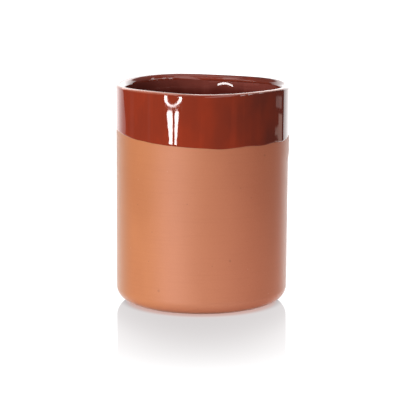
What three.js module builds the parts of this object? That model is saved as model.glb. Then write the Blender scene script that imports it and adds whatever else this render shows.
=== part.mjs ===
// Terracotta mug without a handle: a turned red-clay vessel, a glaze lining poured inside,
// and a glaze band dipped over the lip and the upper wall.
// Millimetres, +Z up. The origin is the centre of the standing ring, on the surface that the mug stands on.

import * as THREE from "three";

// Outside of the bare clay
const MUG_HEIGHT = 102.4; // standing surface to the mean crest of the glazed lip
const LIP_RADIUS = 40.1; // just under the lip's outer round, where the wall is widest
const BODY_RADIUS = 40; // at the dip line
const FOOT_RADIUS = 39.8; // just above the rounded base edge
const BASE_EDGE_RADIUS = 7.2; // rounding between the wall and the standing ring

// Walls, floor and underside of the clay
const LIP_WALL = 3.8; // wall at the foot of the lip's inner round
const LIP_OUTER_ROUND = 0.9; // tight rounding from the outside wall to the crest
const LIP_INNER_RISE = 2.2; // the wide inner round falls this far from the crest to the inside wall
const FLOOR_WALL = 5; // wall just above the inside corner
const FLOOR_THICKNESS = 4.8;
const INSIDE_CORNER_RADIUS = 9; // rounding between the floor and the wall
const STANDING_RING_WIDTH = 6; // flat ring that touches the table
const RECESS_DEPTH = 1.2; // hollow under the floor, so that the mug doesn't rock
const RECESS_SLOPE = 1.6; // width of the slope from the ring up to the hollow

// Glaze
const GLAZE_THICKNESS = 0.4;
const LAP_DEPTH = 2; // the band's coat turns over the lip and ends this far below its inner round
const DIP_DEPTH = 21; // mean crest of the lip to the middle of the slanting dip line
const DIP_RISE = 3.7; // the dip line's highest point over its middle
const DIP_RISE_AT = 111; // degrees round from +X, where the dip line is highest

// Handwork: the turned mug leans a little, and its lip was smoothed with a wet sponge
const LEAN = 0.6; // the lip's centre stands this far towards +X of the ring's centre
const LIP_WAVE_DEPTH = 10; // the lip's unevenness fades out this far below its inner round
const LIP_WAVES = [
  { lobes: 1, height: 0.3, peak: 172 },
  { lobes: 2, height: 0.2, peak: 168 },
  { lobes: 3, height: 0.2, peak: 120 },
];

// Facets
const SEGMENTS = 64; // round the mug
const ARC_DIVISIONS = 4; // an arc gets twice this many chords

const bareCrest = MUG_HEIGHT - GLAZE_THICKNESS;
const crestRadius = LIP_RADIUS - LIP_OUTER_ROUND;
const lipBase = bareCrest - LIP_INNER_RISE;
const lapLevel = lipBase - LAP_DEPTH;
const dipLevel = MUG_HEIGHT - DIP_DEPTH;
const floorLevel = RECESS_DEPTH + FLOOR_THICKNESS;
const cornerTop = floorLevel + INSIDE_CORNER_RADIUS;

const { degToRad, lerp, smoothstep } = THREE.MathUtils;

// Radius of the bare clay inside: the wall thins from the corner to the lip.
function insideRadius(level) {
  const share = (level - cornerTop) / (lipBase - cornerTop);
  return lerp(FOOT_RADIUS - FLOOR_WALL, LIP_RADIUS - LIP_WALL, share);
}

// The inside face from the middle of the floor up to the lap line, standing off the clay by a coat.
function insideFace(coat) {
  const cornerCentre = insideRadius(cornerTop) - INSIDE_CORNER_RADIUS;
  return new THREE.Path()
    .moveTo(0, floorLevel + coat)
    .lineTo(cornerCentre, floorLevel + coat)
    .absarc(cornerCentre, cornerTop, INSIDE_CORNER_RADIUS - coat, -Math.PI / 2, 0)
    .lineTo(insideRadius(lapLevel) - coat, lapLevel)
    .getPoints(ARC_DIVISIONS);
}

// The outside face from the dip line up, over the lip and down to the lap line, standing off by a coat.
// A coat swells from nothing at the dip line to its full thickness in a quarter round.
function lipFace(coat) {
  const outerTop = bareCrest - LIP_OUTER_ROUND;
  const innerReach = LIP_WALL - LIP_OUTER_ROUND;
  const face = new THREE.Path().moveTo(BODY_RADIUS, dipLevel);
  if (coat > 0) {
    face.absarc(BODY_RADIUS, dipLevel + coat, coat, -Math.PI / 2, 0);
  }
  return face
    .lineTo(LIP_RADIUS + coat, outerTop)
    .absarc(crestRadius, outerTop, LIP_OUTER_ROUND + coat, 0, Math.PI / 2)
    .absellipse(crestRadius, lipBase, innerReach + coat, LIP_INNER_RISE + coat, Math.PI / 2, Math.PI)
    .lineTo(insideRadius(lapLevel) - coat, lapLevel)
    .getPoints(ARC_DIVISIONS);
}

// The underside and the base edge, from the middle of the hollow out to where the straight wall starts.
function undersideFace() {
  const ringOutside = FOOT_RADIUS - BASE_EDGE_RADIUS;
  const ringInside = ringOutside - STANDING_RING_WIDTH;
  return new THREE.Path()
    .moveTo(0, RECESS_DEPTH)
    .lineTo(ringInside - RECESS_SLOPE, RECESS_DEPTH)
    .lineTo(ringInside, 0)
    .lineTo(ringOutside, 0)
    .absarc(ringOutside, BASE_EDGE_RADIUS, BASE_EDGE_RADIUS, -Math.PI / 2, 0)
    .getPoints(ARC_DIVISIONS);
}

// How far the lip stands above its mean crest, at an angle round the mug.
function lipWave(angle) {
  return LIP_WAVES.reduce(
    (sum, { lobes, height, peak }) => sum + height * Math.cos(lobes * (angle - degToRad(peak))),
    0,
  );
}

// How far the dip line's slant moves the outside wall up or down: all of it at the dip line itself,
// fading to nothing at the lip's round and at the base edge.
function dipSlant(angle, level) {
  const fromFoot = (level - BASE_EDGE_RADIUS) / (dipLevel - BASE_EDGE_RADIUS);
  const fromLip = (lipBase - level) / (lipBase - dipLevel);
  const share = Math.max(0, Math.min(fromFoot, fromLip, 1));
  return share * DIP_RISE * Math.cos(angle - degToRad(DIP_RISE_AT));
}

// Gives a turned piece the lip's wave, the dip line's slant and the lean of the wall.
// Clay and glaze get the same moves, so a coat stays on its clay.
function shapeByHand(turned) {
  const insideAtLip = LIP_RADIUS - LIP_WALL;
  const positions = turned.getAttribute("position");
  const point = new THREE.Vector3();
  for (let i = 0; i < positions.count; i++) {
    point.fromBufferAttribute(positions, i);
    const angle = Math.atan2(point.y, point.x);
    const level = point.z;
    point.z += lipWave(angle) * smoothstep(level, lipBase - LIP_WAVE_DEPTH, lipBase);
    if (Math.hypot(point.x, point.y) > insideAtLip) {
      point.z += dipSlant(angle, level);
    }
    point.x += (LEAN * Math.max(0, level - BASE_EDGE_RADIUS)) / (lipBase - BASE_EDGE_RADIUS);
    positions.setXYZ(i, point.x, point.y, point.z);
  }
  turned.computeVertexNormals();
}

// A lathe splits each four-sided facet in two. This splits it along the diagonal that rises the same way round
// the mug, whichever way the profile runs, so that a coat and its clay meet on the same triangles.
function splitFacetsAlike(turned, profile) {
  const index = turned.getIndex();
  for (let i = 0; i < index.count; i += 6) {
    const [a, b, d, c] = index.array.slice(i, i + 4);
    const from = profile[a % profile.length];
    const to = profile[d % profile.length];
    if (to.y < from.y || (to.y === from.y && to.x < from.x)) {
      index.array.set([a, b, c, a, c, d], i);
    }
  }
}

// A piece turned from its profile, which runs outwards, up, and back to where it began.
function turnedPiece(name, profile, material) {
  const turned = new THREE.LatheGeometry(profile, SEGMENTS).rotateX(Math.PI / 2);
  splitFacetsAlike(turned, profile);
  shapeByHand(turned);
  const piece = new THREE.Mesh(turned, material);
  piece.name = name;
  return piece;
}

const bareLip = lipFace(0);
const bareInside = insideFace(0);

const clayBody = turnedPiece(
  "clay_body",
  [...undersideFace(), ...bareLip, ...bareInside.toReversed().slice(1)],
  new THREE.MeshStandardMaterial({ color: 0xc57c58, roughness: 0.85, metalness: 0 }),
);

const liningGlaze = turnedPiece(
  "lining_glaze",
  [...bareInside, ...insideFace(GLAZE_THICKNESS).toReversed()],
  new THREE.MeshStandardMaterial({ color: 0x6a2a1e, roughness: 0.1, metalness: 0 }),
);

const bandGlaze = turnedPiece(
  "band_glaze",
  [...lipFace(GLAZE_THICKNESS), ...bareLip.toReversed()],
  new THREE.MeshStandardMaterial({ color: 0x7c2c1c, roughness: 0.1, metalness: 0 }),
);

const mug = new THREE.Group();
mug.name = "terracotta_mug";
mug.add(clayBody, liningGlaze, bandGlaze);

export default mug;
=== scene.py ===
import math

import bmesh
import bpy
import numpy as np
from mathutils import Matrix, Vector, noise


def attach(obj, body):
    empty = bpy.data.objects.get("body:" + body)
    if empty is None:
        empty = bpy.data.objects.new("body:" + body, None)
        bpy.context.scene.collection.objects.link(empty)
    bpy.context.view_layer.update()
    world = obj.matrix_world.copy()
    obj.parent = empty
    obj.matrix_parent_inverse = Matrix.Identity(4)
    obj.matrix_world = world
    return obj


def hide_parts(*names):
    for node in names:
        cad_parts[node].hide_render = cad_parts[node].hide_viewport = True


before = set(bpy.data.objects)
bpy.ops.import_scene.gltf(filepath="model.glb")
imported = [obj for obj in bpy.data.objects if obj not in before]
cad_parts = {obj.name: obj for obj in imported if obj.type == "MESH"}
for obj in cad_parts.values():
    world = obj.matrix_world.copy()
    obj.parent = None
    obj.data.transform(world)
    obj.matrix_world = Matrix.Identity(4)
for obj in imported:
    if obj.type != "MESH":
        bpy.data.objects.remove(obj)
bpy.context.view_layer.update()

# Clay vessel
# One piece of fine red clay, turned on the wheel, leaning a hair and out of round by a fraction of a
# millimetre. Its lip was smoothed with a wet sponge, its foot trimmed to a ring, and it was fired bare.
MM = 0.001
FACETS_ROUND = 384
MERGE_DISTANCE = 1e-7
SHARP_ANGLE = 50
MUG_HEIGHT = 102.4 * MM
GLAZE = 0.4 * MM
LIP_RADIUS = 40.1 * MM
BODY_RADIUS = 40.0 * MM
FOOT_RADIUS = 39.8 * MM
LIP_WALL = 3.8 * MM
LIP_OUTER_ROUND = 0.9 * MM
LIP_INNER_RISE = 2.2 * MM
FLOOR_WALL = 5.0 * MM
FLOOR_LEVEL = 6.0 * MM
INSIDE_CORNER = 9.0 * MM
BASE_EDGE = 7.2 * MM
BASE_REACH = 9.0 * MM
STANDING_RING = 4.2 * MM
RECESS_DEPTH = 1.2 * MM
RECESS_SLOPE = 1.6 * MM
DIP_LEVEL = 81.4 * MM
LEAN = 0.6 * MM
LIP_STEP = 0.165 * MM
LIP_STEP_DEPTH = 2.2 * MM
LIP_STEP_FADE = 20 * MM
LIP_WAVE_DEPTH = 10.0 * MM
# Lobes round the lip, the height of each wave, and the degrees from +X at which it peaks
LIP_WAVES = (
    (1, 0.25 * MM, 165),
    (2, 0.06 * MM, 144),
    (3, 0.19 * MM, 120),
    (4, 0.17 * MM, 39),
    (5, 0.08 * MM, 23),
)
# Lobes round the wall, the depth of each oval, and its turn in radians
OVALS = ((2, 0.10 * MM, -0.6), (3, 0.05 * MM, 1.1))
OVAL_FROM = 20 * MM
BULGE = 0.42 * MM
BULGE_AT = 0
BULGE_WIDTH = 18
BULGE_TOP = 79.3 * MM
BULGE_LEVELS = (BULGE_TOP - 14 * MM, BULGE_TOP - 7 * MM, BULGE_TOP - 1.5 * MM, BULGE_TOP)
AXIS_CLEAR = 1 * MM

angles = np.linspace(0, 2 * math.pi, FACETS_ROUND, endpoint=False)
bare_crest = MUG_HEIGHT - GLAZE
crest_radius = LIP_RADIUS - LIP_OUTER_ROUND
lip_base = bare_crest - LIP_INNER_RISE
outer_top = bare_crest - LIP_OUTER_ROUND
corner_top = FLOOR_LEVEL + INSIDE_CORNER


def straight(start, end, steps):
    """Points along a straight run of a profile, as (radius, height)."""
    return np.linspace(start, end, steps + 1)


def rounding(centre, reach, rise, start, end, steps):
    """Points along a round of a profile, from one angle to another in degrees."""
    turn = np.radians(np.linspace(start, end, steps + 1))
    return np.column_stack((centre[0] + reach * np.cos(turn), centre[1] + rise * np.sin(turn)))


def profile_of(*runs):
    """One profile from runs that each start where the last one ended."""
    return np.vstack([runs[0]] + [run[1:] for run in runs[1:]])


def smooth_step(value, low, high):
    """Goes from 0 at the low value to 1 at the high one, with soft ends."""
    share = np.clip((value - low) / (high - low), 0, 1)
    return share * share * (3 - 2 * share)


def between(value, start, full, waning, end):
    """Grows from 0 at the start to 1 at full, and wanes again to 0 at the end."""
    return smooth_step(value, start, full) * (1 - smooth_step(value, waning, end))


def hump(at, width):
    """1 at a place round the mug, in degrees, falling off to both sides."""
    away = (np.degrees(angles) - at + 180) % 360 - 180
    return np.exp(-((away / width) ** 2))


def inside_radius(level):
    """Bare clay inside: the wall thins from the corner to the lip, most of all just under the lip."""
    walls = (FOOT_RADIUS - FLOOR_WALL, LIP_RADIUS - LIP_WALL)
    straight_wall = np.interp(level, (corner_top, lip_base), walls)
    step = LIP_STEP * (1 - smooth_step(level, lip_base - LIP_STEP_DEPTH, lip_base))
    return straight_wall - step * smooth_step(level, corner_top, lip_base - LIP_STEP_FADE)


def outside_radius(level):
    """Bare clay outside: an almost upright wall, a hair wider towards the lip."""
    levels = (BASE_EDGE, DIP_LEVEL, outer_top)
    return np.interp(level, levels, (FOOT_RADIUS, BODY_RADIUS, LIP_RADIUS))


def inside_wall(start, end, coat, steps):
    """Points along the inside wall from one level to another, standing off the clay by a coat."""
    level = np.linspace(start, end, steps + 1)
    return np.column_stack((inside_radius(level) - coat, level))


def over_the_lip(coat, steps):
    """Points over the lip: the tight outer round up to the crest and the wide inner round."""
    outer_reach = LIP_OUTER_ROUND + coat
    outer = rounding((crest_radius, outer_top), outer_reach, outer_reach, 0, 90, steps)
    inner_reach = crest_radius - inside_radius(lip_base) + coat
    inner = rounding((crest_radius, lip_base), inner_reach, LIP_INNER_RISE + coat, 90, 180, steps)
    return profile_of(outer, inner)


def by_hand(radius, level):
    """Places turned rows round the mug, with the lip's wave, the wall's slight ovals and the lean."""
    radius, level = np.broadcast_arrays(radius, level)
    wave = sum(size * np.cos(lobes * (angles - math.radians(peak))) for lobes, size, peak in LIP_WAVES)
    oval = sum(size * np.cos(lobes * angles + turn) for lobes, size, turn in OVALS)
    standing = smooth_step(level, 0, 2 * BASE_EDGE)
    out = radius + oval * standing * (radius > OVAL_FROM)
    lean = LEAN * np.clip((level - BASE_EDGE) / (lip_base - BASE_EDGE), 0, None)
    height = level + wave * smooth_step(level, lip_base - LIP_WAVE_DEPTH, lip_base)
    return np.stack((out * np.cos(angles) + lean, out * np.sin(angles), height), axis=-1)


def placed(profile):
    """The rows of a turned profile, placed round the mug."""
    return by_hand(profile[:, :1], profile[:, 1:])


def swell(points, amount):
    """Moves points straight out from the mug's axis by an amount for each."""
    out = points.copy()
    radius = np.hypot(points[..., 0], points[..., 1])
    share = 1 + amount / np.maximum(radius, AXIS_CLEAR)
    out[..., 0] *= share
    out[..., 1] *= share
    return out


def turned_piece(name, rows, closed):
    """A smooth mesh from rows of points round the mug. If closed, the last row joins the first."""
    count, round_count = rows.shape[:2]
    index = np.arange(count * round_count).reshape(count, round_count)
    if closed:
        index = np.vstack((index, index[:1]))
    beside = np.roll(index, -1, axis=1)
    faces = np.stack((index[:-1], beside[:-1], beside[1:], index[1:]), axis=-1).reshape(-1, 4)
    mesh = bpy.data.meshes.new(name)
    mesh.from_pydata(rows.reshape(-1, 3).tolist(), [], faces.tolist())
    shaped = bmesh.new()
    shaped.from_mesh(mesh)
    bmesh.ops.remove_doubles(shaped, verts=shaped.verts, dist=MERGE_DISTANCE)
    bmesh.ops.recalc_face_normals(shaped, faces=shaped.faces)
    shaped.to_mesh(mesh)
    shaped.free()
    mesh.polygons.foreach_set("use_smooth", [True] * len(mesh.polygons))
    mesh.set_sharp_from_angle(angle=math.radians(SHARP_ANGLE))
    piece = bpy.data.objects.new(name, mesh)
    bpy.context.scene.collection.objects.link(piece)
    return piece


ring_outside = FOOT_RADIUS - BASE_REACH
ring_inside = ring_outside - STANDING_RING
hollow_edge = (ring_inside - RECESS_SLOPE, RECESS_DEPTH)
inside_corner_centre = (inside_radius(corner_top) - INSIDE_CORNER, corner_top)
clay_profile = profile_of(
    straight((0, RECESS_DEPTH), hollow_edge, steps=8),
    straight(hollow_edge, (ring_inside, 0), steps=4),
    straight((ring_inside, 0), (ring_outside, 0), steps=4),
    rounding((ring_outside, BASE_EDGE), BASE_REACH, BASE_EDGE, -90, 0, steps=28),
    straight((FOOT_RADIUS, BASE_EDGE), (BODY_RADIUS, DIP_LEVEL), steps=120),
    straight((BODY_RADIUS, DIP_LEVEL), (LIP_RADIUS, outer_top), steps=14),
    over_the_lip(0, steps=12),
    inside_wall(lip_base, corner_top, 0, steps=30),
    rounding(inside_corner_centre, INSIDE_CORNER, INSIDE_CORNER, 0, -90, steps=12),
    straight((inside_corner_centre[0], FLOOR_LEVEL), (0, FLOOR_LEVEL), steps=4),
)
clay_rows = placed(clay_profile)
bulge = BULGE * hump(BULGE_AT, BULGE_WIDTH) * between(clay_rows[..., 2], *BULGE_LEVELS)
outside = np.hypot(clay_rows[..., 0], clay_rows[..., 1]) > LIP_RADIUS - LIP_WALL / 2
clay = turned_piece("clay_vessel", swell(clay_rows, bulge * outside), closed=False)

# Colours over parts of the clay, and where each lies: from one place to another, with its shares there
# Painted shade: each pair of clay colours goes from the lit left to the shaded right, redder and darker
# there.
DEEP_CLAY = ((0.475, 0.160, 0.053, 1), (0.472, 0.118, 0.044, 1))
BRIGHT_CLAY = ((0.52, 0.183, 0.063, 1), (0.515, 0.136, 0.053, 1))
LIT_TO_SHADED = (-12 * MM, 30 * MM)
# Painted sheen: a paler, pinker patch across the front of the clay, strongest left of the middle.
FRONT_SHEEN_CLAY = (0.51, 0.185, 0.115, 1)
FRONT_SHEEN_LEFT = (-26 * MM, -12 * MM, 0.0, 0.35)
FRONT_SHEEN_RIGHT = (8 * MM, 28 * MM, 1.0, 0.4)
# Painted shade: the clay darker and redder towards the foot, where less light reaches it near the table.
FOOT_SHADE_CLAY = (0.40, 0.07, 0.022, 1)
FOOT_SHADE_PLACE = (1.5 * MM, 6 * MM, 0.4, 0.0)
# Painted sheen: the clay duller and less red at its left edge, standing in for the pale grazing light
# there.
LEFT_EDGE_SHEEN_CLAY = (0.36, 0.165, 0.085, 1)
LEFT_EDGE_SHEEN_PLACE = (-40 * MM, -31 * MM, 0.65, 0.0)
# Painted sheen: the clay paler at its right edge.
RIGHT_EDGE_SHEEN_CLAY = (0.55, 0.25, 0.16, 1)
RIGHT_EDGE_SHEEN_PLACE = (35 * MM, 40 * MM, 0.0, 0.6)

# Marks in the clay: the colour of each, and how strongly it shows
BLOTCHES = (0.3, 0.7)
GRAIN_COLOUR = (0.58, 0.22, 0.11, 1)
GRAIN_SHOWS = (0.35, 0.65, 0.0, 0.16)
LINE_COLOUR = (0.38, 0.105, 0.04, 1)
LINE_SHOWS = (0.45, 0.75, 0.0, 0.10)
LINE_RELIEF = 0.6
IRON_SPECK = (0.2, 0.07, 0.035, 1)
IRON_SHARE = 0.4
PALE_SPECK = (0.85, 0.6, 0.45, 1)
PALE_SHARE = 0.1
# Degrees from +X and height of each pit
PITS = ((-71, 26 * MM), (-119.4, 11.5 * MM), (-44.5, 73 * MM))
PIT_CORE = 0.25 * MM
PIT_RADIUS = 0.9 * MM
# Painted shade in the pits, which have no relief of their own.
PIT_SHADE_COLOUR = (0.25, 0.08, 0.035, 1)
PIT_SHADE_SHARE = 0.4
CLAY_ROUGHNESS = (0.2, 0.8, 0.45, 0.55)
CLAY_BUMP = 0.25
CLAY_BUMP_HEIGHT = 0.05 * MM
CLAY_DIFFUSE_ROUGHNESS = 0.5
CLAY_SHEEN = 0.4
CLAY_SHEEN_ROUGHNESS = 0.3


def add(tree, kind, inputs=None, **settings):
    """A shader node with its settings, and its inputs set to values or joined to other sockets."""
    made = tree.nodes.new("ShaderNode" + kind)
    for name, value in settings.items():
        setattr(made, name, value)
    for name, value in (inputs or {}).items():
        if isinstance(value, bpy.types.NodeSocket):
            tree.links.new(value, made.inputs[name])
        else:
            made.inputs[name].default_value = value
    return made


def maths(tree, operation, *values, clamp=False):
    """The result of one sum on numbers or sockets."""
    terms = dict(enumerate(values))
    return add(tree, "Math", terms, operation=operation, use_clamp=clamp).outputs[0]


def own_place(tree):
    """Where a point of a piece lies, in the mug's own frame."""
    return add(tree, "TexCoord").outputs["Object"]


def own_axes(tree):
    """The same place as three numbers, X, Y and Z."""
    return add(tree, "SeparateXYZ", {0: own_place(tree)}).outputs


def limits(tree, value, low, high, to_low=0.0, to_high=1.0):
    """Maps a value from one range to another, smoothly and without passing the ends."""
    values = {"Value": value, "From Min": low, "From Max": high, "To Min": to_low, "To Max": to_high}
    return add(tree, "MapRange", values, interpolation_type="SMOOTHSTEP").outputs["Result"]


def tint(tree, share, first, second):
    """A colour that goes from the first to the second with a share between 0 and 1."""
    return add(tree, "Mix", {0: share, 6: first, 7: second}, data_type="RGBA").outputs[2]


def layered(tree, colour, layers):
    """A colour with further colours laid over it in turn, each by its share."""
    for share, over in layers:
        colour = tint(tree, share, colour, over)
    return colour


def stretched_noise(tree, stretch, scale, detail, roughness=0.5):
    """Noise in the mug's own frame, drawn out along the axes with small stretch values."""
    spread = add(tree, "VectorMath", {0: own_place(tree), 1: stretch}, operation="MULTIPLY").outputs[0]
    values = {"Vector": spread, "Scale": scale, "Detail": detail, "Roughness": roughness}
    return add(tree, "TexNoise", values).outputs["Fac"]


def spots(tree, scale, core, edge, channel, above):
    """Small soft-edged spots in a few cells of a scatter, those whose random number is above a limit."""
    cells = add(tree, "TexVoronoi", {"Vector": own_place(tree), "Scale": scale})
    near = limits(tree, cells.outputs["Distance"], core, edge, 1.0, 0.0)
    number = add(tree, "SeparateColor", {"Color": cells.outputs["Color"]}).outputs[channel]
    return maths(tree, "MULTIPLY", near, maths(tree, "GREATER_THAN", number, above))


def new_group(name):
    """An empty shader node group."""
    return bpy.data.node_groups.new(name, "ShaderNodeTree")


def put_out(group, values):
    """Gives a node group its named outputs, and returns the group."""
    for name in values:
        group.interface.new_socket(name, in_out="OUTPUT", socket_type="NodeSocketFloat")
    end = group.nodes.new("NodeGroupOutput")
    for name, value in values.items():
        group.links.new(value, end.inputs[name])
    return group


def fired_clay_group():
    """What firing and turning leave in clay: soft blotches, fine grain, turning lines and specks."""
    group = new_group("fired_clay")
    return put_out(group, {
        "Blotch": stretched_noise(group, stretch=(1, 1, 0.7), scale=34, detail=3),
        "Grain": stretched_noise(group, stretch=(1, 1, 1), scale=1500, detail=4, roughness=0.7),
        "Lines": stretched_noise(group, stretch=(0.04, 0.04, 1), scale=1100, detail=3, roughness=0.6),
        "Dark Specks": spots(group, scale=620, core=0.08, edge=0.24, channel=0, above=0.985),
        "Pale Specks": spots(group, scale=520, core=0.08, edge=0.24, channel=0, above=0.992),
    })


def pits_group():
    """Where grit fell out of the clay while it was turned: a few shallow pits, shown by painted shade
    alone.
    """
    group = new_group("clay_pits")
    place = own_place(group)
    share = 0.0
    for at, level in PITS:
        turn = math.radians(at)
        centre = (BODY_RADIUS * math.cos(turn), BODY_RADIUS * math.sin(turn), level)
        away = add(group, "VectorMath", {0: place, 1: centre}, operation="DISTANCE").outputs["Value"]
        near = limits(group, away, PIT_CORE, PIT_RADIUS, 1.0, 0.0)
        share = maths(group, "MAXIMUM", near, share)
    return put_out(group, {"Share": share})


def new_material(name):
    """A new finish, with its node tree and its shader."""
    material = bpy.data.materials.new(name)
    material.use_nodes = True
    return material, material.node_tree, material.node_tree.nodes["Principled BSDF"]


def surface(tree, shader, colour, rough, relief, strength, distance):
    """Gives a shader its colour, its roughness and a fine relief."""
    bump = add(tree, "Bump", {"Strength": strength, "Distance": distance, "Height": relief}).outputs[0]
    for name, value in (("Base Color", colour), ("Roughness", rough), ("Normal", bump)):
        tree.links.new(value, shader.inputs[name])


def terracotta_material():
    """Grainy bare clay, with painted shade to the right, at the foot and in pits, and painted sheen at
    front and sides.
    """
    material, tree, shader = new_material("fired_terracotta")
    clay_look = add(tree, "Group", node_tree=fired_clay_group()).outputs
    pitted = add(tree, "Group", node_tree=pits_group()).outputs["Share"]
    axes = own_axes(tree)
    lit_to_shaded = limits(tree, axes["X"], *LIT_TO_SHADED)
    deep = tint(tree, lit_to_shaded, *DEEP_CLAY)
    bright = tint(tree, lit_to_shaded, *BRIGHT_CLAY)
    blotched = tint(tree, limits(tree, clay_look["Blotch"], *BLOTCHES), deep, bright)
    front_sheen_left = limits(tree, axes["X"], *FRONT_SHEEN_LEFT)
    front_sheen_right = limits(tree, axes["X"], *FRONT_SHEEN_RIGHT)
    colour = layered(tree, blotched, (
        (maths(tree, "MULTIPLY", front_sheen_left, front_sheen_right), FRONT_SHEEN_CLAY),
        (limits(tree, clay_look["Grain"], *GRAIN_SHOWS), GRAIN_COLOUR),
        (limits(tree, clay_look["Lines"], *LINE_SHOWS), LINE_COLOUR),
        (maths(tree, "MULTIPLY", clay_look["Dark Specks"], IRON_SHARE), IRON_SPECK),
        (maths(tree, "MULTIPLY", clay_look["Pale Specks"], PALE_SHARE), PALE_SPECK),
        (maths(tree, "MULTIPLY", pitted, PIT_SHADE_SHARE), PIT_SHADE_COLOUR),
        (limits(tree, axes["Z"], *FOOT_SHADE_PLACE), FOOT_SHADE_CLAY),
        (limits(tree, axes["X"], *LEFT_EDGE_SHEEN_PLACE), LEFT_EDGE_SHEEN_CLAY),
        (limits(tree, axes["X"], *RIGHT_EDGE_SHEEN_PLACE), RIGHT_EDGE_SHEEN_CLAY),
    ))
    rough = limits(tree, clay_look["Grain"], *CLAY_ROUGHNESS)
    relief = maths(tree, "MULTIPLY_ADD", clay_look["Lines"], LINE_RELIEF, clay_look["Grain"])
    surface(tree, shader, colour, rough, relief, CLAY_BUMP, CLAY_BUMP_HEIGHT)
    shader.inputs["Diffuse Roughness"].default_value = CLAY_DIFFUSE_ROUGHNESS
    shader.inputs["Sheen Weight"].default_value = CLAY_SHEEN
    shader.inputs["Sheen Roughness"].default_value = CLAY_SHEEN_ROUGHNESS
    return material


clay.data.materials.append(terracotta_material())
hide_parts("clay_body")
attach(clay, "root")

# Lining glaze
# A coat of red-brown glaze that was poured in, swirled round and poured out before firing. Its gloss shows
# the finger ridges of the wall, and a shallow groove that runs round under the lip.
RIDGE_HEIGHT = 0.10 * MM
RIDGE_PITCH = 5.5 * MM
RIDGE_PATCH = 14 * MM
RIDGE_MEAN = 0.6
RIDGE_SPREAD = 0.4
LUMP_HEIGHT = 0.06 * MM
LUMP_SIZE = 9 * MM
GROOVE_DEPTH = 8.0 * MM
GROOVE_SAG = 2.2 * MM
GROOVE_HIGH_AT = 72.5
GROOVE_HIGH_WIDTH = 8
GROOVE_LEVELS = (lip_base - 12 * MM, lip_base - 5 * MM, lip_base - 0.6 * MM, lip_base)
RIDGE_LEVELS = (corner_top, corner_top + 12 * MM, lip_base - 18 * MM, lip_base - GROOVE_DEPTH)


def inside_run(coat, steps_up, steps_round, steps_floor):
    """The inside face from the middle of the floor up to the lip, standing off the clay by a coat."""
    return profile_of(
        straight((0, FLOOR_LEVEL + coat), (inside_corner_centre[0], FLOOR_LEVEL + coat), steps_floor),
        rounding(inside_corner_centre, INSIDE_CORNER - coat, INSIDE_CORNER - coat, -90, 0, steps_round),
        inside_wall(corner_top, lip_base - GROOVE_DEPTH, coat, steps_up),
        inside_wall(lip_base - GROOVE_DEPTH, lip_base, coat, steps_up // 2),
    )


def lumps(points, size):
    """Slow bumps between -1 and 1, about one size across, at each point."""
    flat = points.reshape(-1, 3) / size
    return np.array([noise.noise(Vector(p)) for p in flat]).reshape(points.shape[:-1])


def finger_ridges(points):
    """Faint spiral ridges that the potter's fingers leave, strongest in uneven patches."""
    spiral = points[..., 2] / RIDGE_PITCH + np.arctan2(points[..., 1], points[..., 0]) / (2 * math.pi)
    uneven = RIDGE_MEAN + RIDGE_SPREAD * lumps(points, RIDGE_PATCH)
    return RIDGE_HEIGHT * uneven * np.sin(2 * math.pi * spiral)


drink_rows = placed(inside_run(GLAZE, steps_up=100, steps_round=24, steps_floor=16)[::-1])
drink_level = drink_rows[..., 2].copy()
sag = GROOVE_SAG * (1 - hump(GROOVE_HIGH_AT, GROOVE_HIGH_WIDTH))
drink_rows[..., 2] -= sag * between(drink_level, *GROOVE_LEVELS)
ridges = finger_ridges(drink_rows) + LUMP_HEIGHT * lumps(drink_rows, LUMP_SIZE)
drink_rows = swell(drink_rows, ridges * between(drink_level, *RIDGE_LEVELS))
clay_side = placed(inside_run(0, steps_up=30, steps_round=12, steps_floor=4))
lining = turned_piece("lining_glaze_coat", np.concatenate((clay_side, drink_rows)), closed=False)

LINING_THIN = (0.235, 0.053, 0.039, 1)
LINING_THICK = (0.108, 0.018, 0.013, 1)
DEPTH_SHOWS = (0.3, 0.7, 0.0, 0.5)
RUN_SHOWS = (0.5, 0.75, 0.0, 0.15)
RUN_PALER = 1.6
PINHOLE_COLOUR = (0.03, 0.01, 0.006, 1)
PINHOLE_SHARE = 0.6
PINHOLE_RELIEF = -0.8
BARED_COLOUR = (0.45, 0.14, 0.08, 1)
BARED_LEVELS = (MUG_HEIGHT - 1.0 * MM, MUG_HEIGHT - 0.1 * MM)
BARED_FRONT = (-10 * MM, 10 * MM, 1.0, 0.0)
GLAZE_ROUGHNESS = (0.2, 0.8, 0.02, 0.04)
GLAZE_BUMP = 0.12
GLAZE_BUMP_HEIGHT = 0.06 * MM
GLAZE_IOR = 1.52


def glaze_flow_group():
    """How a fluid glaze settles: runs down the wall, thick and thin places, pinholes and soft waves."""
    group = new_group("glaze_flow")
    return put_out(group, {
        "Runs": stretched_noise(group, stretch=(1, 1, 0.06), scale=260, detail=3, roughness=0.6),
        "Depth": stretched_noise(group, stretch=(1, 1, 0.6), scale=70, detail=3),
        "Pinholes": spots(group, scale=190, core=0.05, edge=0.13, channel=1, above=0.9),
        "Waves": stretched_noise(group, stretch=(1, 1, 0.7), scale=160, detail=2),
    })


glaze_flow = glaze_flow_group()


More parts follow.
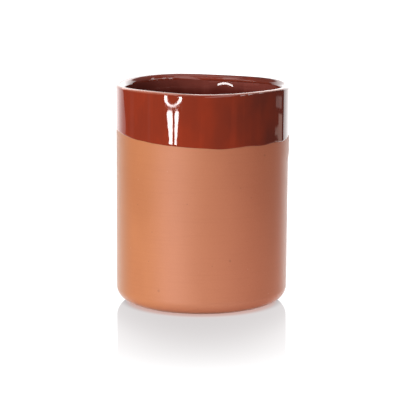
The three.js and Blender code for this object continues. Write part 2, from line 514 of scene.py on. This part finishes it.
def glaze_material(name, thin, thick, axis, first, last, bared=0.0):
    """Glaze, thicker or thinner along an axis: first and last are (place, added share of the thick
    colour).
    On the band this is painted shade, lighter left and darker right; on the lining, darker lower down.

    Bared is the share of clay that shows through on the front of the crest, where the glaze ran off.
    """
    material, tree, shader = new_material(name)
    flow = add(tree, "Group", node_tree=glaze_flow).outputs
    axes = own_axes(tree)
    gathered_and_shade = limits(tree, axes[axis], first[0], last[0], first[1], last[1])
    thickness_and_shade = maths(tree, "ADD", limits(tree, flow["Depth"], *DEPTH_SHOWS), gathered_and_shade, clamp=True)
    paler = tuple(min(1, RUN_PALER * part) for part in thin[:3]) + (1,)
    crest = limits(tree, axes["Z"], *BARED_LEVELS, 0.0, bared)
    front = limits(tree, axes["Y"], *BARED_FRONT)
    colour = layered(tree, tint(tree, thickness_and_shade, thin, thick), (
        (limits(tree, flow["Runs"], *RUN_SHOWS), paler),
        (maths(tree, "MULTIPLY", flow["Pinholes"], PINHOLE_SHARE), PINHOLE_COLOUR),
        (maths(tree, "MULTIPLY", crest, front), BARED_COLOUR),
    ))
    rough = limits(tree, flow["Depth"], *GLAZE_ROUGHNESS)
    relief = maths(tree, "MULTIPLY_ADD", flow["Pinholes"], PINHOLE_RELIEF, flow["Waves"])
    surface(tree, shader, colour, rough, relief, GLAZE_BUMP, GLAZE_BUMP_HEIGHT)
    shader.inputs["IOR"].default_value = GLAZE_IOR
    return material


lining.data.materials.append(glaze_material(
    "lining_glaze_fired", LINING_THIN, LINING_THICK,
    axis="Z", first=(lip_base - 7 * MM, 0.9), last=(lip_base, -0.2),
))
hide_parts("lining_glaze")
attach(lining, "root")

# Band glaze
# A coat of the same glaze, which the mug was dipped into lip first, a little aslant. It runs over the lip
# to the lining, and ends outside in a rounded edge with a slight bead where the wet glaze hung.
DIP_RISE = 3.7 * MM
DIP_RISE_AT = 111
# Degrees from +X, rise in millimetres and width in degrees of each run along the dip line
DIP_RUNS = ((221, -0.20, 6), (281, -0.35, 7), (301, 0.40, 6), (314, -0.30, 5), (338, -1.2, 10))
DIP_LUMP_HEIGHT = 0.10 * MM
DIP_LUMP_SIZE = 6 * MM
EDGE_ROUND = 0.45 * MM
EDGE_SINK = 0.04 * MM
EDGE_CROWDING = 1.6
EDGE_STEPS = 10
BEAD = 0.05 * MM
BEAD_FADE = 7
WALL_STEPS = 60
BACK_STEPS = 12
WAVER_HEIGHT = 0.008 * MM
WAVER_SIZE = 11 * MM
WAVER_FROM = 0.5 * MM
WAVER_FULL = 4 * MM
BAND_THIN_AND_LIT = (0.257, 0.031, 0.012, 1)
BAND_THICK_AND_SHADED = (0.125, 0.0225, 0.0135, 1)

dip_line = DIP_LEVEL + DIP_RISE * np.cos(angles - math.radians(DIP_RISE_AT))
for at, run, width in DIP_RUNS:
    dip_line = dip_line + run * MM * hump(at, width)
circle = np.stack((np.cos(angles), np.sin(angles), 0 * angles), axis=-1) * BODY_RADIUS
dip_line = dip_line + DIP_LUMP_HEIGHT * lumps(circle, DIP_LUMP_SIZE)

edge_share = np.linspace(0, 1, EDGE_STEPS + 1)[:, None] ** EDGE_CROWDING
edge_level = dip_line + EDGE_ROUND * edge_share
edge_coat = (GLAZE + BEAD + EDGE_SINK) * np.sqrt(1 - (1 - edge_share) ** 2) - EDGE_SINK
wall_share = np.linspace(0, 1, WALL_STEPS + 1)[1:, None]
wall_level = (dip_line + EDGE_ROUND) + wall_share * (outer_top - dip_line - EDGE_ROUND)
wall_coat = GLAZE + BEAD * np.exp(-wall_share * BEAD_FADE)
back_share = np.linspace(1, 0, BACK_STEPS + 1)[1:-1, None]
back_level = dip_line + back_share * (outer_top - dip_line)
outer_rows = np.concatenate((
    by_hand(outside_radius(edge_level) + edge_coat, edge_level),
    by_hand(outside_radius(wall_level) + wall_coat, wall_level),
    placed(over_the_lip(GLAZE, steps=32)[1:]),
))
free = smooth_step(outer_rows[..., 2], dip_line + WAVER_FROM, dip_line + WAVER_FULL)
outer_rows = swell(outer_rows, WAVER_HEIGHT * lumps(outer_rows, WAVER_SIZE) * free)
under_rows = np.concatenate((
    placed(over_the_lip(0, steps=12)[::-1]),
    by_hand(outside_radius(back_level), back_level),
))
band = turned_piece("band_glaze_coat", np.concatenate((outer_rows, under_rows)), closed=True)
# Painted shade on the band: its glaze lighter to the left and darker towards the right, away from the
# lamps.
band.data.materials.append(glaze_material(
    "band_glaze_fired", BAND_THIN_AND_LIT, BAND_THICK_AND_SHADED,
    axis="X", first=(-8 * MM, -0.25), last=(47 * MM, 0.77), bared=0.7,
))
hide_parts("band_glaze")
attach(band, "root")

# White walls
# Two sheets of lit white paper hang in a curve behind the mug, the right one brighter, with a low flap at
# the left one's end. The glaze shows them as pale edges.
WALL_DISTANCE = 1.0
WALL_LOW = -0.6
WALL_HIGH = 1.7
WALL_STRIPS = 32
WALL_RIGHT_END = 132.3
WALL_MIDDLE = 180
WALL_LEFT_END = 232
WALL_FLAP = ((232, WALL_LOW), (242, WALL_LOW), (242, -0.055), (232, -0.015))
PAPER_INWARD = (0.50, 0.90)
PAPER_UPWARD = (0.08, 0.35)
PAPER_TOP_SOFT = 0.06
PAPER_OVER_TOP = 0.08


def emission(name, strength, colour=(1, 1, 1, 1)):
    """A lamp's face that shines evenly."""
    material = bpy.data.materials.new(name)
    material.use_nodes = True
    tree = material.node_tree
    tree.nodes.clear()
    lamp = add(tree, "Emission", {"Color": colour, "Strength": strength})
    end = tree.nodes.new("ShaderNodeOutputMaterial")
    tree.links.new(lamp.outputs[0], end.inputs["Surface"])
    return material


def shine(tree, strength):
    """Lets a lamp's face shine unevenly, with a strength from other nodes."""
    tree.links.new(strength, tree.nodes["Emission"].inputs["Strength"])


def around(azimuth, distance, height):
    """A place round the mug. Azimuth 0 is the camera's side and grows to its right."""
    turn = math.radians(azimuth)
    return (math.sin(turn) * distance, -math.cos(turn) * distance, height)


def lamp_panel(name, verts, faces, material):
    """A panel that only reflections show. Faces go round in either direction."""
    mesh = bpy.data.meshes.new(name)
    mesh.from_pydata(verts, [], faces)
    panel = bpy.data.objects.new(name, mesh)
    bpy.context.scene.collection.objects.link(panel)
    panel.data.materials.append(material)
    panel.visible_camera = False
    panel.visible_diffuse = False
    panel.visible_shadow = False
    return panel


def flat_panel(name, corners, material):
    """A panel of one face."""
    return lamp_panel(name, corners, [tuple(range(len(corners)))], material)


def strip_panel(name, verts, material):
    """A panel of four-sided faces between two edges, whose points come in pairs."""
    pairs = len(verts) // 2
    faces = [(2 * i, 2 * i + 2, 2 * i + 3, 2 * i + 1) for i in range(pairs - 1)]
    return lamp_panel(name, verts, faces, material)


def curved_wall(name, first, last, distance, low, high, material):
    """A wall panel bent round the mug, from one azimuth to another."""
    turns = np.linspace(first, last, WALL_STRIPS + 1)
    verts = [around(turn, distance, level) for turn in turns for level in (low, high)]
    return strip_panel(name, verts, material)


def wall_material(name, faint, bright, high, top):
    """Lit paper, brightest straight behind the mug, fainter towards its ends and dark above its top."""
    material = emission(name, 1)
    tree = material.node_tree
    axes = own_axes(tree)
    inward = limits(tree, axes["Y"], *PAPER_INWARD, faint, bright)
    upward = limits(tree, axes["Z"], *PAPER_UPWARD, 1.0, high)
    under_top = limits(tree, axes["Z"], top - PAPER_TOP_SOFT, top + PAPER_TOP_SOFT, 1.0, PAPER_OVER_TOP)
    shine(tree, maths(tree, "MULTIPLY", maths(tree, "MULTIPLY", inward, upward), under_top))
    return material


right_paper = wall_material("wall_paper_right", faint=1.45, bright=2.7, high=1.3, top=0.66)
left_paper = wall_material("wall_paper_left", faint=0.8, bright=2.3, high=0.8, top=0.56)
for name, first, last, paper in (
    ("wall_behind_right", WALL_RIGHT_END, WALL_MIDDLE, right_paper),
    ("wall_behind_left", WALL_MIDDLE, WALL_LEFT_END, left_paper),
):
    curved_wall(name, first, last, WALL_DISTANCE, WALL_LOW, WALL_HIGH, paper)
flap = [around(azimuth, WALL_DISTANCE, level) for azimuth, level in WALL_FLAP]
flat_panel("wall_end_left", flap, left_paper)

# Softboxes
# Lamps behind warm white cloth: one slung low over the mouth, one bent over the mug at each side, and a
# plain one high overhead. They draw the pale line along the crest of the lip and soften the band's gloss.
MOUTH_HALF_WIDTH = 75 * MM
MOUTH_BACK = (25 * MM, 118 * MM)
MOUTH_FRONT = (-35 * MM, 190 * MM)
MOUTH_COLOUR = (1, 0.86, 0.82, 1)
MOUTH_LEFT_END = (-44 * MM, -22 * MM, 1.4, 0.0)
MOUTH_RIGHT_PART = (22 * MM, 32 * MM, 0.0, 1.1)
MOUTH_RIGHT_END = (46 * MM, 60 * MM, 1.0, 0.2)
MOUTH_RISING = (-10 * MM, 0, 2.4, 4.4)
MOUTH_FALLING = (8 * MM, 18 * MM, 0.0, -1.9)
DOME_RADIUS = 1.5
DOME_STEPS = 8
# Azimuth of each row of a softbox, with its low and high elevation
RIGHT_SOFTBOX = (
    (4, -4, 16),
    (10, 0, 28),
    (18, 6, 44),
    (36, 20, 62),
    (50, 46, 72),
    (66, 56, 76),
    (84, 64, 80),
)
RIGHT_STRENGTH = 2.3
RIGHT_COLOUR = (1, 0.8, 0.77, 1)
LEFT_SOFTBOX = ((-36, 34, 48), (-58, 52, 70), (-77, 56, 72), (-95, 56, 70))
LEFT_STRENGTH = 3.2
LEFT_COLOUR = (1, 0.85, 0.82, 1)
OVERHEAD_CORNERS = ((-0.8, -0.3, 1.7), (0.8, -0.3, 1.7), (0.8, 1.0, 1.7), (-0.8, 1.0, 1.7))
OVERHEAD_STRENGTH = 1.0


def dome_panel(name, rows, material):
    """A light panel bent over the mug. Each row is an azimuth with the panel's low and high elevation."""
    verts = []
    for azimuth, low_end, high_end in rows:
        for rise in np.radians(np.linspace(low_end, high_end, DOME_STEPS + 1)):
            height = MUG_HEIGHT + DOME_RADIUS * math.sin(rise)
            verts.append(around(azimuth, DOME_RADIUS * math.cos(rise), height))
    row_length = DOME_STEPS + 1
    corners = [row_length * row + step for row in range(len(rows) - 1) for step in range(DOME_STEPS)]
    faces = [(i, i + row_length, i + row_length + 1, i + 1) for i in corners]
    return lamp_panel(name, verts, faces, material)


def see_through(tree, share):
    """Makes a shining face clear, by a share between 0 and 1."""
    glow = tree.nodes["Emission"].outputs[0]
    clear = add(tree, "BsdfTransparent").outputs[0]
    mixed = add(tree, "MixShader", {0: share, 1: glow, 2: clear}).outputs[0]
    tree.links.new(mixed, tree.nodes["Material Output"].inputs["Surface"])


def mouth_light_material():
    """A softbox that shines down and forward only, brightest in its middle and near its ends."""
    material = emission("light_mouth", 1, MOUTH_COLOUR)
    tree = material.node_tree
    across = own_axes(tree)["X"]
    left_end = limits(tree, across, *MOUTH_LEFT_END)
    right_part = limits(tree, across, *MOUTH_RIGHT_PART)
    right_end = limits(tree, across, *MOUTH_RIGHT_END)
    ends = maths(tree, "MULTIPLY_ADD", right_part, right_end, left_end)
    risen = maths(tree, "ADD", ends, limits(tree, across, *MOUTH_RISING))
    shine(tree, maths(tree, "ADD", risen, limits(tree, across, *MOUTH_FALLING)))
    see_through(tree, add(tree, "NewGeometry").outputs["Backfacing"])
    return material


mouth_corners = [
    (-MOUTH_HALF_WIDTH, *MOUTH_BACK),
    (MOUTH_HALF_WIDTH, *MOUTH_BACK),
    (MOUTH_HALF_WIDTH, *MOUTH_FRONT),
    (-MOUTH_HALF_WIDTH, *MOUTH_FRONT),
]
soft_lights = [
    flat_panel("light_mouth", mouth_corners, mouth_light_material()),
    dome_panel("light_right", RIGHT_SOFTBOX, emission("light_right", RIGHT_STRENGTH, RIGHT_COLOUR)),
    dome_panel("light_left", LEFT_SOFTBOX, emission("light_left", LEFT_STRENGTH, LEFT_COLOUR)),
]
flat_panel("light_overhead", OVERHEAD_CORNERS, emission("light_overhead", OVERHEAD_STRENGTH))

# Reflectors and stands
# Warm white boards stand low at the right, one with its corner cut away and a narrow one over it, and two
# dim lamp stands at the left. The glaze shows them as narrow upright marks near the mug's sides.
BOARD_DISTANCE = 0.95
LOW_BOARD = (
    (108.5, -0.6),
    (127, -0.6),
    (127, -0.044),
    (117, -0.044),
    (117, -0.054),
    (108.5, -0.056),
)
LOW_BOARD_STRENGTH = 1.2
LOW_BOARD_COLOUR = (1, 0.72, 0.62, 1)
HIGH_BOARD = (109.5, 125)
HIGH_BOARD_LEVELS = (-0.039, -0.028)
HIGH_BOARD_STRENGTH = 0.8
HIGH_BOARD_COLOUR = (1, 0.8, 0.76, 1)
STANDS = (("stand_far", -108, -100, 0.13), ("stand_near", -74.5, -70.5, 0.16))
STAND_LEVELS = (-0.6, 0.5)

low_board = [around(azimuth, BOARD_DISTANCE, level) for azimuth, level in LOW_BOARD]
flat_panel("reflector_low", low_board, emission("reflector", LOW_BOARD_STRENGTH, LOW_BOARD_COLOUR))
high_glow = emission("reflector_high", HIGH_BOARD_STRENGTH, HIGH_BOARD_COLOUR)
curved_wall("reflector_high", *HIGH_BOARD, BOARD_DISTANCE, *HIGH_BOARD_LEVELS, high_glow)
for name, first, last, brightness in STANDS:
    curved_wall(name, first, last, BOARD_DISTANCE, *STAND_LEVELS, emission(name, brightness))

# Narrow lamps
# Bright tubes at the front left, two bars under a hoop, draw the upright highlights in the band. A lamp
# further off shines on the lining alone, and three slanting spots at the right shine on the band.
LAMP_STRENGTH = 25
LAMP_DISTANCE = 0.22
LAMP_LOW = 55.6 * MM
LAMP_TOP = 69.4 * MM
LAMP_ROUND = 2.0 * MM
LAMP_STEPS = 30
# Azimuth and height of the hoop's middle, its reach to the left and right in degrees, and its drop
HOOP_OUTER = (-35.3, 75.5 * MM, 10.5, 11.4, 4.45 * MM)
HOOP_INNER = (-34.3, 75.6 * MM, 7.9, 6.8, 3.5 * MM)
HOOP_ARMS_TOP = 110 * MM
HOOP_ROUND_LEFT = 2.0
HOOP_ROUND_RIGHT = 1.5
HOOP_STEPS = 40
INNER_LAMP = (-41.9, -28.3)
INNER_LAMP_DISTANCE = 0.8
INNER_LAMP_LEVELS = (0.172, 0.230)
INNER_LAMP_STRENGTH = 20
SPOT_DISTANCE = 0.8
SPOT_HALF_WIDTH = 3.6
# Azimuth and height of each spot's low end and high end, and its strength
SPOTS = ((86, 0.47, 109, 1.00, 4.5), (65.5, 0.43, 76, 0.90, 6.0), (51.5, 0.28, 60, 0.80, 5.0))


def bar_lamp(name, inner, outer_low, outer_high):
    """A narrow upright lamp with a rounded top, straight on its inner side and wider towards the top."""
    verts = []
    for level in np.linspace(LAMP_LOW, LAMP_TOP, LAMP_STEPS + 1):
        outer = np.interp(level, (LAMP_LOW, LAMP_TOP), (outer_low, outer_high))
        over = max(0, (level - LAMP_TOP + LAMP_ROUND) / LAMP_ROUND)
        inset = (outer - inner) / 2 * (1 - math.sqrt(1 - min(1, over) ** 2))
        verts += [around(turn, LAMP_DISTANCE, level) for turn in (inner + inset, outer - inset)]
    return strip_panel(name, verts, emission(name, LAMP_STRENGTH))


def hoop_edge(azimuth, level, left, right, drop):
    """One edge of the hoop: down its left arm, round the bend and up its right arm."""
    across = np.sin(np.linspace(-math.pi / 2, math.pi / 2, HOOP_STEPS + 1))
    power = np.where(across < 0, HOOP_ROUND_LEFT, HOOP_ROUND_RIGHT)
    bend_level = level - drop * (1 - np.abs(across) ** power) ** (1 / power)
    bend = np.column_stack((azimuth + across * np.where(across < 0, left, right), bend_level))
    return np.vstack(((azimuth - left, HOOP_ARMS_TOP), bend, (azimuth + right, HOOP_ARMS_TOP)))


near_lamps = [
    bar_lamp("lamp_left", -35.2, -39.3, -43.2),
    bar_lamp("lamp_right", -32.6, -30.0, -27.3),
]
hoop_pairs = zip(hoop_edge(*HOOP_OUTER), hoop_edge(*HOOP_INNER))
hoop_verts = [around(turn, LAMP_DISTANCE, level) for pair in hoop_pairs for turn, level in pair]
near_lamps.append(strip_panel("lamp_hoop", hoop_verts, emission("lamp_hoop", LAMP_STRENGTH)))
inner_glow = emission("lamp_inner", INNER_LAMP_STRENGTH)
inner_lamp = curved_wall("lamp_inner", *INNER_LAMP, INNER_LAMP_DISTANCE, *INNER_LAMP_LEVELS, inner_glow)
for number, (low_at, low_level, high_at, high_level, brightness) in enumerate(SPOTS):
    spot = [
        around(low_at - SPOT_HALF_WIDTH, SPOT_DISTANCE, low_level),
        around(low_at + SPOT_HALF_WIDTH, SPOT_DISTANCE, low_level),
        around(high_at + SPOT_HALF_WIDTH, SPOT_DISTANCE, high_level),
        around(high_at - SPOT_HALF_WIDTH, SPOT_DISTANCE, high_level),
    ]
    name = f"lamp_spot_{number}"
    soft_lights.append(flat_panel(name, spot, emission(name, brightness)))


def light_only(name, lamps, pieces):
    """Keeps the light of some lamps to some pieces."""
    lit = bpy.data.collections.new(name)
    for piece in pieces:
        lit.objects.link(piece)
    for lamp in lamps:
        lamp.light_linking.receiver_collection = lit


light_only("dipped", near_lamps + soft_lights, [band])
light_only("lined", [inner_lamp], [lining])

# Table
# A sheet of white acrylic that the mug stands on, lit from all round. It is darker where the mug keeps
# light off it, and close to the mug its gloss lets the mirror image show.
TABLE_REACH = 4.0
TABLE_SEEN = 1.3
TABLE_LIT = (0.10, 0.40, 1.5, 0.45)
TABLE_SHADE = (0.033, 0.046, 0.3, 1.0)
MIRROR_NEAR = 0.03
MIRROR_FAR = 0.167
MIRROR_FALL = 2
MIRROR_SHARE = 0.504
MIRROR_CONTACT = (0.034, 0.040, 0.724, MIRROR_SHARE)

floor_mesh = bpy.data.meshes.new("floor")
floor_corners = [(x * TABLE_REACH, y * TABLE_REACH, 0) for x, y in ((-1, -1), (1, -1), (1, 1), (-1, 1))]
floor_mesh.from_pydata(floor_corners, [], [(0, 1, 2, 3)])
floor = bpy.data.objects.new("floor", floor_mesh)
bpy.context.scene.collection.objects.link(floor)


def either(tree, share, first, second):
    """A number that goes from the first to the second with a share between 0 and 1."""
    return add(tree, "Mix", {0: share, 2: first, 3: second}).outputs[0]


def table_material():
    """White acrylic that glows with the studio's light and is clear close to what stands on it."""
    material = emission("table", 1)
    tree = material.node_tree
    away = add(tree, "VectorMath", {0: own_place(tree)}, operation="LENGTH").outputs["Value"]
    reach = {"Value": away, "From Min": MIRROR_NEAR, "From Max": MIRROR_FAR}
    fallen = maths(tree, "POWER", add(tree, "MapRange", reach).outputs["Result"], MIRROR_FALL)
    contact = limits(tree, away, *MIRROR_CONTACT)
    cleared = maths(tree, "MULTIPLY_ADD", fallen, -MIRROR_SHARE, contact)
    lit = limits(tree, away, *TABLE_LIT)
    near_light = maths(tree, "MULTIPLY", lit, limits(tree, away, *TABLE_SHADE))
    seen = add(tree, "LightPath").outputs["Is Camera Ray"]
    shine(tree, either(tree, seen, near_light, TABLE_SEEN))
    see_through(tree, maths(tree, "MULTIPLY", cleared, seen, clamp=True))
    return material


floor.data.materials.append(table_material())
floor.visible_glossy = False

# Mirror image
# What the table's gloss shows: the vessel upside down, warm where it touches and grey further down. It is
# a copy of the clay's mesh, seen through the table.
TOUCH_COLOUR = (0.40, 0.09, 0.03, 1)
TOUCH_LEVELS = (0.1 * MM, 1.4 * MM)
MIRROR_GREY = 0.01
MIRROR_PALER = (0, 15 * MM, 0.12, 0.36)
MIRROR_BLUSH = (0.06, 0, 0)


def mirror_material():
    """A painted reflection that glows: warm where the mug touches the table, then grey, paler to the mug's
    sides.
    """
    material = emission("mirror_grey", 1)
    tree = material.node_tree
    axes = own_axes(tree)
    aside = maths(tree, "MULTIPLY", axes["X"], 1 / BODY_RADIUS)
    squared = maths(tree, "MULTIPLY", aside, aside)
    grey = maths(tree, "MULTIPLY_ADD", squared, limits(tree, axes["Z"], *MIRROR_PALER), MIRROR_GREY)
    blush = add(tree, "VectorMath", {0: grey, 1: MIRROR_BLUSH}, operation="ADD").outputs[0]
    colour = tint(tree, limits(tree, axes["Z"], *TOUCH_LEVELS), TOUCH_COLOUR, blush)
    tree.links.new(colour, tree.nodes["Emission"].inputs["Color"])
    return material


# Painted reflection: a glowing copy of the clay, upside down under the table.
mirror_image = bpy.data.objects.new("mirror_image", clay.data.copy())
mirror_image.scale = (1, 1, -1)
mirror_image.data.materials.clear()
mirror_image.data.materials.append(mirror_material())
bpy.context.scene.collection.objects.link(mirror_image)
mirror_image.visible_diffuse = False
mirror_image.visible_glossy = False
mirror_image.visible_shadow = False

# Room light
# One large soft lamp at the upper left shapes the clay, and one at the mug's own level gives the clay its
# sheen. The rest comes from a white room, which the glaze shows darker than it is, darkest low down.
ROOM_UPWARD = (0.15, 0.5, 0.05, 0.25)
ROOM_LIGHT = 0.36
ROOM_SEEN = 1.0


def soft_light(name, azimuth, elevation, distance, width, height, power):
    """A rectangular lamp that faces the middle of the mug."""
    turn = math.radians(azimuth)
    rise = math.radians(elevation)
    light = bpy.data.lights.new(name, "AREA")
    light.shape = "RECTANGLE"
    light.size = width
    light.size_y = height
    light.energy = power
    lamp = bpy.data.objects.new(name, light)
    aim = Vector((math.sin(turn) * math.cos(rise), -math.cos(turn) * math.cos(rise), math.sin(rise)))
    lamp.location = aim * distance + Vector((0, 0, MUG_HEIGHT / 2))
    lamp.rotation_euler = aim.to_track_quat("Z", "Y").to_euler()
    bpy.context.scene.collection.objects.link(lamp)
    return lamp


key = soft_light("key", azimuth=-42, elevation=30, distance=1.3, width=0.8, height=0.8, power=13)
key.visible_glossy = False
sheen = soft_light("sheen", azimuth=-38, elevation=0, distance=1.3, width=0.9, height=1.6, power=20)
sheen.visible_diffuse = False
light_only("bare_clay", [sheen], [clay])

world = bpy.data.worlds.new("studio")
world.use_nodes = True
sky = world.node_tree
sky.nodes.clear()
path = add(sky, "LightPath").outputs
upward = add(sky, "SeparateXYZ", {0: add(sky, "TexCoord").outputs["Generated"]}).outputs["Z"]
room = limits(sky, upward, *ROOM_UPWARD)
lighting = either(sky, path["Is Glossy Ray"], ROOM_LIGHT, room)
strength = either(sky, path["Is Camera Ray"], lighting, ROOM_SEEN)
back = add(sky, "Background", {"Color": (1, 1, 1, 1), "Strength": strength})
sky_end = sky.nodes.new("ShaderNodeOutputWorld")
sky.links.new(back.outputs[0], sky_end.inputs["Surface"])
bpy.context.scene.world = world

# Camera
# A long lens about a metre in front of the mug and a little above it, looking slightly down.
CAMERA_PLACE = (-0.67 * MM, -984 * MM, 221.3 * MM)
CAMERA_DOWN = 10.02
CAMERA_LENS = 191.8
CAMERA_SENSOR = 36
CAMERA_NEAREST = 0.01

camera_data = bpy.data.cameras.new("camera")
camera_data.lens = CAMERA_LENS
camera_data.sensor_width = CAMERA_SENSOR
camera_data.clip_start = CAMERA_NEAREST
camera = bpy.data.objects.new("camera", camera_data)
camera.location = CAMERA_PLACE
camera.rotation_euler = (math.radians(90 - CAMERA_DOWN), 0, 0)
bpy.context.scene.collection.objects.link(camera)
bpy.context.scene.camera = camera
bpy.context.scene.view_settings.view_transform = "Standard"
